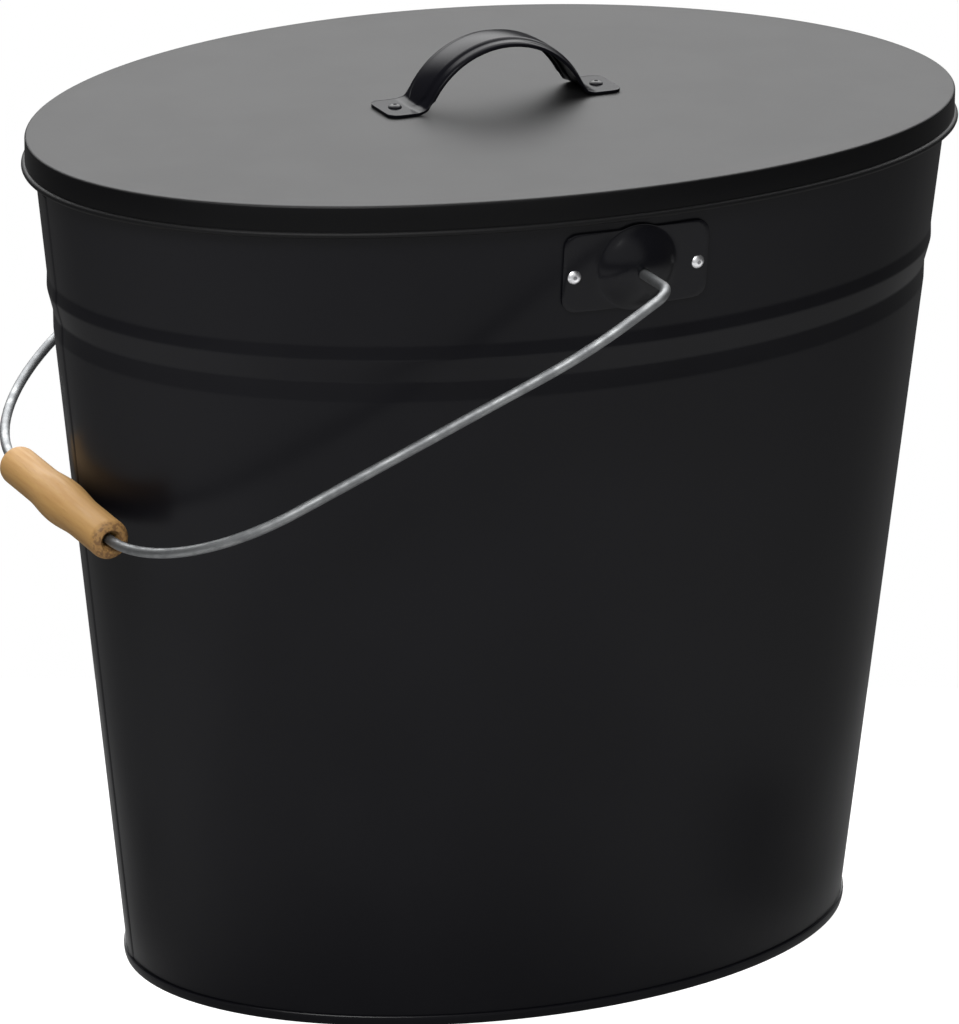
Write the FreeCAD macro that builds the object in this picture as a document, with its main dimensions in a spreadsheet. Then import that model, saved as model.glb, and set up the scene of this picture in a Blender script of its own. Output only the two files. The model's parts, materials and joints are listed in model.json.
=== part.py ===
import FreeCAD, Part
import math
import os
import Sketcher

# Oval ash bucket with a lift-off lid, a wire bail and a wooden grip.
# Millimetres. Origin on the floor under the bucket's middle: X along the oval, -Y the front, +Z up.

SIZES = (
    # The wall, measured on its outside
    ("rim_length", 421.8, "oval along X at the top edge"),
    ("rim_width", 289.1, "oval along Y at the top edge"),
    ("foot_length", 340.3, "oval along X at the floor"),
    ("foot_width", 231.1, "oval along Y at the floor"),
    ("body_height", 381.6, "floor to the top of the rolled rim"),
    ("sheet", 0.7, "thickness of the wall, base and lid"),
    ("seat_gap", 0.1, "room left between two seated sheets"),
    ("rim_bead", 3.4, "height of the rolled rim"),
    ("rim_bead_out", 1.6, "how far the rolled rim stands out"),
    ("swage_below_ear", 11.8, "ear plate down to the pressed swage round the wall"),
    ("swage_upper", 6.1, "height of the swage's upper slope, out to its crest"),
    ("swage_fall", 10.2, "height of the slope from its crest in to its hollow"),
    ("swage_lower", 8.9, "height of its lower slope, out to the plain wall"),
    ("swage_out", 0.8, "crest out from the plain wall, and hollow in from it"),
    ("seam_width", 9, "width of the upright lock seam"),
    ("seam_offset", 11.5, "lock seam's middle, behind the oval's left end"),
    ("seam_below_lid", 5, "lid's hem down to the lock seam's top"),
    # The base
    ("fold_height", 4.5, "height of the base's fold round the wall's foot"),
    ("fold_bead_out", 0.5, "how far the fold bulges"),
    ("floor_top", 5.5, "height of the floor panel's upper face"),
    # The bail ears
    ("ear_drop", 31.1, "top of the wall down to the middle of an ear"),
    ("ear_length", 68, "ear plate along X"),
    ("ear_width", 35, "ear plate up the wall"),
    ("ear_corner", 6, "corner radius of the ear plate"),
    ("ear_sheet", 1.2, "thickness of the ear"),
    ("dome_diameter", 38, "raised dome in the ear plate"),
    ("dome_height", 8, "dome's top above the wall"),
    ("pivot_drop", 1.5, "bail hole below the dome's middle"),
    ("pivot_clearance", 0.3, "room round the wire in the ear"),
    ("ear_rivet_inset", 5, "from an end of the ear plate to its rivet"),
    # The bail
    ("wire_diameter", 4.5, "bail wire"),
    ("wire_head_diameter", 8, "head on the wire's end, inside the dome"),
    ("wire_head_thickness", 2, "thickness of that head"),
    ("wire_head_room", 1.2, "from that head to the top of the dome's hollow"),
    ("leg_room", 25, "top of the dome out to the leg's middle"),
    ("bail_overhang", 31, "how far the grip's axis swings out past the wall's end"),
    ("pin_bend", 7, "bend from the pin into the leg"),
    ("leg_straight", 21, "pivot axis to where the leg starts to lean in"),
    ("leg_bend", 150, "bend where the leg starts to lean in"),
    ("grip_bend", 87, "bend from the leg into the grip"),
    ("grip_inset", 5, "how far inside the grip that bend ends"),
    # The grip
    ("grip_length", 112, "wooden grip"),
    ("grip_diameter", 20.6, "its middle"),
    ("grip_end_diameter", 17.8, "its two ends"),
    ("grip_straight", 31, "straight part at each end"),
    ("grip_round", 4, "rounding of its ends"),
    ("grip_clearance", 1.2, "room round the wire in the grip"),
    ("countersink_diameter", 9.4, "mouth of the grip's bore"),
    ("countersink_depth", 2, "depth of that mouth"),
    ("grip_rest_gap", 0.3, "grip to wall where the bail comes to rest"),
    # The lid
    ("lid_play", 0.6, "room between the rolled rim and the skirt"),
    ("lid_seat_gap", 0.1, "room between the rolled rim and the lid's top"),
    ("lid_depth", 14, "lid's top down to the bottom of its hem"),
    ("lid_crown", 4.4, "how far the lid's middle arches over its two ends"),
    ("lid_hem_height", 2.8, "height of the curled hem"),
    ("lid_hem_out", 1.6, "how far the hem stands out"),
    # The lid's handle
    ("handle_width", 25, "strap across"),
    ("handle_rise", 29.5, "top of the arch above the lid"),
    ("handle_length", 112, "end to end over both feet"),
    ("handle_foot", 15, "foot beyond the arch, at each end"),
    ("handle_strap", 1.2, "thickness of the strap"),
    ("handle_lip", 3.8, "depth of the strap's turned-down edges"),
    ("handle_corner", 5, "corner radius of a foot"),
    ("handle_rivet_inset", 7.5, "from the toe of a foot to its rivet"),
    # The blind rivets
    ("rivet_diameter", 3, "shank"),
    ("rivet_fit", 0.05, "room round the shank"),
    ("rivet_head_diameter", 6, "head"),
    ("rivet_head_height", 1.3, "head"),
    ("rivet_head_edge", 0.3, "straight edge under the domed head"),
    ("rivet_tail_diameter", 4.8, "bulge behind the sheets"),
    ("rivet_tail_length", 3, "length of that bulge"),
    ("rivet_bore_diameter", 1.8, "hole through the rivet"),
    ("mandrel_fit", 0.05, "room round the mandrel"),
    ("mandrel_sunk", 0.4, "broken end below the head's top"),
    ("mandrel_head_diameter", 2.8, "mandrel's head behind the bulge"),
    ("mandrel_head_length", 1.2, "length of that head"),
)

FRONT, BACK = -1, 1
LEFT, RIGHT = -1, 1
BEAD_STEPS = 6

doc = FreeCAD.newDocument("ash_bucket")
sizes = doc.addObject("Spreadsheet::Sheet", "Sizes")
for row, (alias, value, meaning) in enumerate(SIZES, start=1):
    sizes.set(f"A{row}", str(value))
    sizes.setAlias(f"A{row}", alias)
    sizes.set(f"B{row}", meaning)
doc.recompute()


def half_length(height, offset="0"):
    """Expression for the wall's half-length at a height, grown by an offset."""
    slope = "(Sizes.rim_length - Sizes.foot_length) / 2 / Sizes.body_height"
    return f"(Sizes.foot_length / 2 + {slope} * ({height}) + ({offset}))"


def half_width(height, offset="0"):
    """Expression for the wall's half-width at a height, grown by an offset."""
    slope = "(Sizes.rim_width - Sizes.foot_width) / 2 / Sizes.body_height"
    return f"(Sizes.foot_width / 2 + {slope} * ({height}) + ({offset}))"


END_SLOPE = "((Sizes.rim_length - Sizes.foot_length) / 2 / Sizes.body_height)"
SIDE_SLOPE = "((Sizes.rim_width - Sizes.foot_width) / 2 / Sizes.body_height)"
INSIDE = "-Sizes.sheet"
EAR_UNDER = "Sizes.seat_gap"
EAR_OVER = "(Sizes.seat_gap + Sizes.ear_sheet)"
EAR_HEIGHT = "(Sizes.body_height - Sizes.ear_drop)"
PIVOT_HEIGHT = f"({EAR_HEIGHT} - Sizes.pivot_drop)"
SWAGE_TOP = f"({EAR_HEIGHT} - Sizes.ear_width / 2 - Sizes.swage_below_ear)"
SWAGE_CREST = f"({SWAGE_TOP} - Sizes.swage_upper)"
SWAGE_HOLLOW = f"({SWAGE_CREST} - Sizes.swage_fall)"
SWAGE_FOOT = f"({SWAGE_HOLLOW} - Sizes.swage_lower)"

# The lid rests on the rim with its two ends, and its middle arches up
LID_ENDS = "(Sizes.body_height + Sizes.lid_seat_gap + Sizes.sheet)"
LID_TOP = f"({LID_ENDS} + Sizes.lid_crown)"
LID_INSIDE = "(Sizes.rim_bead_out + Sizes.lid_play)"
LID_OUTSIDE = f"({LID_INSIDE} + Sizes.sheet)"
LID_REACH = half_length("Sizes.body_height", LID_INSIDE)
CROWN_RADIUS = f"(({LID_REACH}^2 + Sizes.lid_crown^2) / (2 * Sizes.lid_crown))"
ARCH_HALF = "(Sizes.handle_length / 2 - Sizes.handle_foot)"
FOOT_INSIDE = f"({ARCH_HALF} - 2 * Sizes.handle_lip)"
FOOT_HEIGHT = f"({LID_TOP} - Sizes.lid_crown * ({FOOT_INSIDE} / {LID_REACH})^2)"

DOME_TOP = f"({half_width(EAR_HEIGHT)} + Sizes.dome_height)"
LEG_SIDE = f"({DOME_TOP} + Sizes.leg_room)"
BAIL_REACH = f"({half_length(PIVOT_HEIGHT)} + Sizes.bail_overhang)"

# Angle below level at which the grip comes to rest on the sloping end of the wall
REST_REACH = (f"({half_length(PIVOT_HEIGHT)} + (Sizes.grip_diameter / 2 + Sizes.grip_rest_gap)"
              f" * sqrt(1 + {END_SLOPE}^2)) / sqrt(1 + {END_SLOPE}^2)")
REST_ANGLE = f"(atan({END_SLOPE}) + acos({REST_REACH} / {BAIL_REACH}))"


def value_of(expression):
    """Number that an expression of the sizes gives now."""
    return float(sizes.evalExpression(expression))


def bind(thing, **expressions):
    """Binds properties to expressions; an underscore pair in a name stands for a dot."""
    for name, expression in expressions.items():
        thing.setExpression(name.replace("__", "."), expression)
    return thing


def oval(name, length, width, height):
    """One level ellipse with its half-axes and height bound."""
    ring = doc.addObject("Part::Ellipse", name)
    return bind(ring, MajorRadius=length, MinorRadius=width, Placement__Base__z=height)


def oval_stack(name, rings):
    """Solid through level ovals, each given as a half-length, a half-width and a height."""
    stack = doc.addObject("Part::Loft", name)
    stack.Sections = [oval(f"{name}_{i}", *ring) for i, ring in enumerate(rings)]
    stack.Solid = True
    stack.Ruled = True
    return stack


def wall_stack(name, levels):
    """Solid through ovals that follow the wall, each level a height and an offset from its outside."""
    return oval_stack(name, [(half_length(z, off), half_width(z, off), z) for z, off in levels])


def lid_stack(name, levels):
    """Solid through ovals that follow the rim's outline, for the upright lid."""
    rim = "Sizes.body_height"
    return oval_stack(name, [(half_length(rim, off), half_width(rim, off), z) for z, off in levels])


def bead_levels(bottom, height, offset, out):
    """Half-round bead from its bottom to its top, as heights and offsets."""
    levels = []
    for step in range(BEAD_STEPS + 1):
        angle = -90 + 180 * step / BEAD_STEPS
        level = f"({bottom}) + ({height}) / 2 * (1 + sin({angle}))"
        levels.append((level, f"({offset}) + ({out}) * cos({angle})"))
    return levels


def swage_levels(offset):
    """The swage pressed round the wall, a crest over a hollow, as heights and offsets from the foot up."""
    return [(SWAGE_FOOT, offset), (SWAGE_HOLLOW, f"({offset}) - Sizes.swage_out"),
            (SWAGE_CREST, f"({offset}) + Sizes.swage_out"), (SWAGE_TOP, offset)]


def boolean(kind, name, base, tool):
    """Part::Cut, Part::Fuse or Part::Common of two objects."""
    result = doc.addObject(f"Part::{kind}", name)
    result.Base = base
    result.Tool = tool
    return result


def rotation_about(axis, angle):
    """Expression for a turn about the row's X, Y or Z."""
    unit = {"x": "1; 0; 0", "y": "0; 1; 0", "z": "0; 0; 1"}[axis]
    return f"create(<<rotation>>; create(<<vector>>; {unit}); {angle})"


def placed(x, y, z, turn="create(<<rotation>>; 0; 0; 0)"):
    """Expression for a placement."""
    return f"create(<<placement>>; create(<<vector>>; {x}; {y}; {z}); {turn})"


def cylinder(name, radius, length, placement):
    """Part::Cylinder from its placement along its own Z."""
    rod = doc.addObject("Part::Cylinder", name)
    return bind(rod, Radius=radius, Height=length, Placement=placement)


def new_body(name, placement):
    """PartDesign body with a bound placement."""
    body = doc.addObject("PartDesign::Body", name)
    return bind(body, Placement=placement)


def plane_of(body, role):
    """One of the body's own origin planes."""
    return next(feature for feature in body.Origin.OriginFeatures if feature.Role == role)


def arc_between(start, end, radius):
    """Minor arc from start to end: counter-clockwise for a positive radius, else clockwise."""
    chord = end - start
    middle = (start + end) / 2
    rise = max(radius ** 2 - (chord.Length / 2) ** 2, 0) ** 0.5
    left = FreeCAD.Vector(-chord.y, chord.x, 0).normalize()
    centre = middle + left * (rise if radius > 0 else -rise)
    first, last = (start, end) if radius > 0 else (end, start)
    angles = [math.atan2(point.y - centre.y, point.x - centre.x) for point in (first, last)]
    return Part.ArcOfCircle(Part.Circle(centre, FreeCAD.Vector(0, 0, 1), abs(radius)), *angles)


def outline(body, name, role, corners, closed=True):
    """Sketch on a body plane whose corners and arc radii are all bound.

    A corner is (x, y) or (x, y, radius, turn): the last two make the edge leaving it an arc of that radius,
    counter-clockwise for turn 1 and clockwise for turn -1.
    """
    sketch = body.newObject("Sketcher::SketchObject", name)
    sketch.AttachmentSupport = [(plane_of(body, role), "")]
    sketch.MapMode = "FlatFace"
    points = [FreeCAD.Vector(value_of(corner[0]), value_of(corner[1]), 0) for corner in corners]
    count = len(corners) if closed else len(corners) - 1
    ends = []
    for i in range(count):
        start, end = points[i], points[(i + 1) % len(points)]
        if len(corners[i]) == 2:
            sketch.addGeometry(Part.LineSegment(start, end))
            ends.append((1, 2))
        else:
            turn = corners[i][3]
            sketch.addGeometry(arc_between(start, end, turn * value_of(corners[i][2])))
            ends.append((1, 2) if turn > 0 else (2, 1))
    for i in range(count if closed else count - 1):
        following = (i + 1) % count
        joined = (i, ends[i][1], following, ends[following][0])
        sketch.addConstraint(Sketcher.Constraint("Coincident", *joined))
    for i, corner in enumerate(corners):
        edge, point = (i, ends[i][0]) if i < count else (i - 1, ends[i - 1][1])
        for kind, expression in (("DistanceX", corner[0]), ("DistanceY", corner[1])):
            index = sketch.addConstraint(Sketcher.Constraint(kind, -1, 1, edge, point, value_of(expression)))
            sketch.setExpression(f"Constraints[{index}]", expression)
        if len(corner) > 2:
            index = sketch.addConstraint(Sketcher.Constraint("Radius", i, value_of(corner[2])))
            sketch.setExpression(f"Constraints[{index}]", corner[2])
    return sketch


def pad(body, sketch, length, both_sides=False):
    """Pads a sketch."""
    feature = body.newObject("PartDesign::Pad", f"{sketch.Name}_pad")
    feature.Profile = sketch
    feature.SideType = "Symmetric" if both_sides else "One side"
    return bind(feature, Length=length)


def revolve(body, sketch):
    """Turns a sketch right round its own upright axis."""
    feature = body.newObject("PartDesign::Revolution", f"{sketch.Name}_turned")
    feature.Profile = sketch
    feature.ReferenceAxis = (sketch, ["V_Axis"])
    feature.Angle = 360
    return feature


def ear_rivet_seat(side, end):
    """Placement of an ear rivet: on the ear plate, square to the wall, its head outward."""
    x = "(Sizes.ear_length / 2 - Sizes.ear_rivet_inset)"
    a, b = half_length(PIVOT_HEIGHT, EAR_OVER), half_width(PIVOT_HEIGHT, EAR_OVER)
    y = f"{b} * sqrt(1 - ({x} / {a})^2)"
    swing = f"atan({b} * {x} / ({a}^2 * sqrt(1 - ({x} / {a})^2)))"
    turn = f"create(<<rotation>>; {-side * end} * {swing}; 0; {-side} * (90 deg + atan({SIDE_SLOPE})))"
    return placed(f"{end} * {x}", f"{side} * {y}", PIVOT_HEIGHT, turn)


def handle_rivet_seat(end):
    """Placement of a lid rivet: on the handle's foot, upright."""
    x = "(Sizes.handle_length / 2 - Sizes.handle_rivet_inset)"
    return placed(f"{end} * {x}", "0", f"{FOOT_HEIGHT} + Sizes.handle_strap")


def drill(name, plate, seats):
    """Drills the hole under each rivet's head, one after the other."""
    reach = "4 * Sizes.rivet_diameter"
    radius = "Sizes.rivet_diameter / 2 + Sizes.rivet_fit"
    for i, seat in enumerate(seats):
        hole = cylinder(f"{name}_hole_{i}", radius, reach, f"{seat} * {placed('0', '0', f'-{reach} / 2')}")
        plate = boolean("Cut", f"{name}_drilled_{i}", plate, hole)
    return plate


EAR_SEATS = {(side, end): ear_rivet_seat(side, end) for side in (FRONT, BACK) for end in (LEFT, RIGHT)}
HANDLE_SEATS = {end: handle_rivet_seat(end) for end in (LEFT, RIGHT)}


def make_wall():
    """Tapered oval wall with its swage, rolled rim and rivet holes."""
    foot, top = "Sizes.sheet", "Sizes.body_height"
    bead = bead_levels(f"{top} - Sizes.rim_bead", "Sizes.rim_bead", "0", "Sizes.rim_bead_out")
    outer = wall_stack("wall_outer", [(foot, "0")] + swage_levels("0") + bead)
    inner = wall_stack("wall_inner", [(foot, INSIDE)] + swage_levels(INSIDE) + [(top, INSIDE)])
    wall = drill("wall", boolean("Cut", "wall_shell", outer, inner), EAR_SEATS.values())
    wall.Label = "bucket_wall"
    return wall


def make_seam():
    """Upright fold that locks the wall's two edges together, lying on the wall's left end."""
    foot = "Sizes.fold_height + Sizes.seat_gap"
    top = f"{LID_ENDS} - Sizes.lid_depth - Sizes.seam_below_lid"
    over, under = "Sizes.seat_gap + Sizes.sheet", "Sizes.seat_gap"
    skin = wall_stack("seam_skin", [(foot, over)] + swage_levels(over) + [(top, over)])
    height, reach = "Sizes.body_height", "Sizes.rim_length / 2"
    corner = placed(f"-{reach} - Sizes.sheet", "Sizes.seam_offset - Sizes.seam_width / 2", "0")
    strip = doc.addObject("Part::Box", "seam_strip")
    bind(strip, Length=reach, Width="Sizes.seam_width", Height=height, Placement=corner)
    inside = wall_stack("seam_inside", [("0", under)] + swage_levels(under) + [(height, under)])
    return boolean("Cut", "wall_seam", boolean("Common", "seam", skin, strip), inside)


def make_base():
    """Floor panel with its edge folded round the wall's foot."""
    fold = wall_stack("base_fold", bead_levels("0", "Sizes.fold_height", "Sizes.seat_gap + Sizes.sheet",
                                               "Sizes.fold_bead_out"))
    inner_leg = "-Sizes.sheet - Sizes.seat_gap"
    floor = wall_stack("base_floor", [("0", inner_leg), ("Sizes.floor_top", inner_leg)])
    start, above = "Sizes.sheet", "Sizes.floor_top + Sizes.fold_height"
    groove = boolean("Cut", "base_groove",
                     wall_stack("groove_outer", [(start, "Sizes.seat_gap"), (above, "Sizes.seat_gap")]),
                     wall_stack("groove_inner", [(start, inner_leg), (above, inner_leg)]))
    under = f"{inner_leg} - Sizes.sheet"
    recess = wall_stack("base_recess", [("-Sizes.sheet", under), ("Sizes.floor_top - Sizes.sheet", under)])
    disc = boolean("Fuse", "base_disc", fold, floor)
    return boolean("Cut", "base_pan", boolean("Cut", "base_grooved", disc, groove), recess)


def make_ear(label, side):
    """Ear plate that follows the wall, with a hollow dome, the bail hole and two rivet holes."""
    body = new_body(f"{label}_blank", placed("0", f"{side} * Sizes.rim_width / 2", EAR_HEIGHT))
    x, z, corner = "Sizes.ear_length / 2", "Sizes.ear_width / 2", "Sizes.ear_corner"
    sketch = outline(body, f"{label}_outline", "XZ_Plane", [
        (f"{x} - {corner}", f"-{z}", corner, 1), (x, f"{corner} - {z}"),
        (x, f"{z} - {corner}", corner, 1), (f"{x} - {corner}", z),
        (f"{corner} - {x}", z, corner, 1), (f"-{x}", f"{z} - {corner}"),
        (f"-{x}", f"{corner} - {z}", corner, 1), (f"{corner} - {x}", f"-{z}")])
    pad(body, sketch, "Sizes.rim_width / 2", both_sides=True)
    foot, top = "Sizes.fold_height", "Sizes.body_height"
    skin = wall_stack(f"{label}_skin", [(foot, EAR_OVER), (top, EAR_OVER)])
    plate = boolean("Common", f"{label}_plate", skin, body)
    radius = "((Sizes.dome_diameter^2 / 4 + Sizes.dome_height^2) / (2 * Sizes.dome_height))"
    centre = placed("0", f"{side} * ({DOME_TOP} - {radius})", EAR_HEIGHT)
    dome = bind(doc.addObject("Part::Sphere", f"{label}_dome"), Radius=radius, Placement=centre)
    hollow = bind(doc.addObject("Part::Sphere", f"{label}_hollow"), Radius=f"{radius} - Sizes.ear_sheet",
                  Placement=centre)
    pivot = cylinder(f"{label}_pivot", "Sizes.wire_diameter / 2 + Sizes.pivot_clearance", LEG_SIDE,
                     placed("0", "0", PIVOT_HEIGHT, rotation_about("x", f"{-side * 90}")))
    inside = wall_stack(f"{label}_inside", [("0", EAR_UNDER), (top, EAR_UNDER)])
    blank = boolean("Fuse", f"{label}_blank_dome", plate, dome)
    pressed = boolean("Cut", f"{label}_pressed", blank, hollow)
    pierced = boolean("Cut", f"{label}_pierced", pressed, pivot)
    drilled = drill(label, pierced, [EAR_SEATS[side, end] for end in (LEFT, RIGHT)])
    return boolean("Cut", label, drilled, inside)


def make_rivet(label, seat, grip):
    """Blind rivet: domed head, shank and the bulge behind the sheets, bored right through."""
    body = new_body(label, seat)
    bore = "Sizes.rivet_bore_diameter / 2"
    head, rise, edge = "Sizes.rivet_head_diameter / 2", "Sizes.rivet_head_height", "Sizes.rivet_head_edge"
    shank, tail = "Sizes.rivet_diameter / 2", "Sizes.rivet_tail_diameter / 2"
    dome = f"((({head} - {bore})^2 + ({rise} - {edge})^2) / (2 * ({rise} - {edge})))"
    end = f"-({grip} + Sizes.rivet_tail_length)"
    sketch = outline(body, f"{label}_half", "XZ_Plane", [
        (bore, end), (tail, end), (tail, f"-({grip})"), (shank, f"-({grip})"), (shank, "0"), (head, "0"),
        (head, edge, dome, 1), (bore, rise)])
    revolve(body, sketch)
    return body


def make_mandrel(label, seat, grip):
    """Steel pin that stays in a blind rivet, with its head behind the bulge."""
    body = new_body(label, seat)
    pin = "Sizes.rivet_bore_diameter / 2 - Sizes.mandrel_fit"
    head = "Sizes.mandrel_head_diameter / 2"
    behind = f"-({grip} + Sizes.rivet_tail_length)"
    end = f"{behind} - Sizes.mandrel_head_length"
    top = "Sizes.rivet_head_height - Sizes.mandrel_sunk"
    sketch = outline(body, f"{label}_half", "XZ_Plane", [
        ("0", end), (head, end), (head, behind), (pin, behind), (pin, top), ("0", top)])
    revolve(body, sketch)
    return body


def make_bail():
    """Bail wire: half of it piped along lines and arcs, with the head on its end, then mirrored."""
    at_rest = rotation_about("y", f"180 deg - {REST_ANGLE}")
    body = new_body("bail_wire", placed("0", "0", PIVOT_HEIGHT, at_rest))
    bend, leg = "Sizes.pin_bend", "Sizes.leg_straight"
    head_out = f"({DOME_TOP} - Sizes.ear_sheet - Sizes.wire_head_room)"
    head_in = f"({head_out} - Sizes.wire_head_thickness)"
    grip_in = "(Sizes.grip_length / 2 - Sizes.grip_inset)"
    across = f"({BAIL_REACH} - Sizes.grip_bend - {leg})"
    along = f"({grip_in} - {LEG_SIDE} + Sizes.leg_bend)"
    between = f"sqrt({across}^2 + {along}^2)"
    lean = f"(asin((Sizes.leg_bend - Sizes.grip_bend) / {between}) - atan({along} / {across}))"
    path = outline(body, "bail_path", "XY_Plane", [
        ("0", head_in), ("0", f"{LEG_SIDE} - {bend}", bend, -1), (bend, LEG_SIDE),
        (leg, LEG_SIDE, "Sizes.leg_bend", -1),
        (f"{leg} + Sizes.leg_bend * sin({lean})", f"{LEG_SIDE} - Sizes.leg_bend * (1 - cos({lean}))"),
        (f"{BAIL_REACH} - Sizes.grip_bend * (1 - sin({lean}))", f"{grip_in} + Sizes.grip_bend * cos({lean})",
         "Sizes.grip_bend", -1),
        (BAIL_REACH, grip_in), (BAIL_REACH, "0")], closed=False)
    section = body.newObject("Sketcher::SketchObject", "bail_section")
    section.AttachmentSupport = [(plane_of(body, "XZ_Plane"), "")]
    section.MapMode = "FlatFace"
    bind(section, AttachmentOffset__Base__z=f"-{head_in}")
    radius = "Sizes.wire_diameter / 2"
    circle = Part.Circle(FreeCAD.Vector(0, 0, 0), FreeCAD.Vector(0, 0, 1), value_of(radius))
    section.addGeometry(circle)
    section.addConstraint(Sketcher.Constraint("Coincident", 0, 3, -1, 1))
    index = section.addConstraint(Sketcher.Constraint("Radius", 0, value_of(radius)))
    section.setExpression(f"Constraints[{index}]", radius)
    doc.recompute()
    pipe = body.newObject("PartDesign::AdditivePipe", "bail_half")
    pipe.Profile = section
    pipe.Spine = path
    head = "Sizes.wire_head_diameter / 2"
    button = revolve(body, outline(body, "bail_head", "XY_Plane", [
        ("0", head_in), (head, head_in), (head, head_out), ("0", head_out)]))
    doc.recompute()
    mirror = body.newObject("PartDesign::Mirrored", "bail_whole")
    mirror.Originals = [pipe, button]
    mirror.MirrorPlane = (plane_of(body, "XZ_Plane"), [""])
    body.Tip = mirror
    return body


def make_grip():
    """Turned wooden grip, bored for the wire and countersunk at both ends."""
    at_grip = placed(f"-{BAIL_REACH} * cos({REST_ANGLE})", "0",
                     f"{PIVOT_HEIGHT} - {BAIL_REACH} * sin({REST_ANGLE})",
                     rotation_about("y", f"180 deg - {REST_ANGLE}"))
    body = new_body("bail_grip", at_grip)
    bore = "Sizes.wire_diameter / 2 + Sizes.grip_clearance"
    mouth, sunk = "Sizes.countersink_diameter / 2", "Sizes.countersink_depth"
    end, ease, half = "Sizes.grip_end_diameter / 2", "Sizes.grip_round", "Sizes.grip_length / 2"
    swell = "((Sizes.grip_diameter - Sizes.grip_end_diameter) / 2)"
    belly = f"({half} - Sizes.grip_straight)"
    sweep = f"(({belly}^2 + {swell}^2) / (4 * {swell}))"
    shoulder = f"{end} + {swell} / 2"
    sketch = outline(body, "grip_half", "XY_Plane", [
        (bore, f"{sunk} - {half}"), (mouth, f"-{half}"), (f"{end} - {ease}", f"-{half}", ease, 1),
        (end, f"{ease} - {half}"), (end, f"-{belly}", sweep, -1), (shoulder, f"-{belly} / 2", sweep, 1),
        (shoulder, f"{belly} / 2", sweep, -1), (end, belly), (end, f"{half} - {ease}", ease, 1),
        (f"{end} - {ease}", half), (mouth, half), (bore, f"{half} - {sunk}")])
    revolve(body, sketch)
    return body


def crown(name, drop):
    """Long round bar along Y whose top is the lid's arched face, lowered by a drop."""
    level = f"{LID_TOP} - {CROWN_RADIUS} - ({drop})"
    across = placed("0", "Sizes.rim_width", level, rotation_about("x", "90"))
    return cylinder(name, CROWN_RADIUS, "2 * Sizes.rim_width", across)


def lid_band(name, offset, top_drop):
    """Upright oval under the lid's arched face, that face lowered by a drop."""
    low = f"{LID_ENDS} - 2 * Sizes.lid_depth"
    upright = lid_stack(name, [(low, offset), (LID_TOP, offset)])
    return boolean("Common", f"{name}_arched", upright, crown(f"{name}_crown", top_drop))


def make_lid():
    """Arched oval lid with an upright skirt, a curled hem and two rivet holes."""
    skirt = lid_band("lid_skirt", LID_OUTSIDE, "0")
    hem = lid_band("lid_hem", f"{LID_OUTSIDE} + Sizes.lid_hem_out", "Sizes.lid_depth - Sizes.lid_hem_height")
    blank = boolean("Fuse", "lid_blank", skirt, hem)
    trimmed = boolean("Cut", "lid_trimmed", blank, crown("lid_foot", "Sizes.lid_depth"))
    shell = boolean("Cut", "lid_shell", trimmed, lid_band("lid_hollow", LID_INSIDE, "Sizes.sheet"))
    lid = drill("lid", shell, HANDLE_SEATS.values())
    lid.Label = "lid_pan"
    return lid


def make_handle():
    """Strap arch with turned-down edges and two drilled feet."""
    body = new_body("handle_strap", placed("0", "0", FOOT_HEIGHT))
    half, rise, width = ARCH_HALF, "Sizes.handle_rise", "Sizes.handle_width"
    strap, lip, corner = "Sizes.handle_strap", "Sizes.handle_lip", "Sizes.handle_corner"
    outer = f"({half}^2 + {rise}^2) / (2 * {rise})"
    under, inner = f"({outer} - {strap})", f"({outer} - {lip})"
    under_half = f"sqrt({under}^2 - ({outer} - {rise})^2)"
    inner_half = f"sqrt({inner}^2 - ({outer} - {rise})^2)"
    arch = outline(body, "handle_arch", "XZ_Plane", [
        (half, "0", outer, 1), (f"-{half}", "0"), (f"-{inner_half}", "0", inner, -1), (inner_half, "0")])
    pad(body, arch, width, both_sides=True)
    toe = "Sizes.handle_length / 2"
    foot = outline(body, "handle_foot", "XY_Plane", [
        (inner_half, f"-{width} / 2"), (f"{toe} - {corner}", f"-{width} / 2", corner, 1),
        (toe, f"{corner} - {width} / 2"), (toe, f"{width} / 2 - {corner}", corner, 1),
        (f"{toe} - {corner}", f"{width} / 2"), (inner_half, f"{width} / 2")])
    right_foot = pad(body, foot, strap)
    doc.recompute()
    feet = body.newObject("PartDesign::Mirrored", "handle_feet")
    feet.Originals = [right_foot]
    feet.MirrorPlane = (plane_of(body, "YZ_Plane"), [""])
    body.Tip = feet
    doc.recompute()
    hollow = outline(body, "handle_hollow", "XZ_Plane", [
        (under_half, "0", under, 1), (f"-{under_half}", "0")])
    channel = body.newObject("PartDesign::Pocket", "handle_channel")
    channel.Profile = hollow
    channel.SideType = "Symmetric"
    bind(channel, Length=f"{width} - 2 * {strap}")
    body.Tip = channel
    handle = drill("handle", body, HANDLE_SEATS.values())
    handle.Label = "lid_handle"
    return handle


EAR_GRIP = "(Sizes.ear_sheet + Sizes.sheet + 2 * Sizes.seat_gap)"
HANDLE_GRIP = "(Sizes.handle_strap + Sizes.sheet + 3 * Sizes.seat_gap)"
SIDE_NAMES = {FRONT: "front", BACK: "back"}
END_NAMES = {LEFT: "left", RIGHT: "right"}

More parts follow.
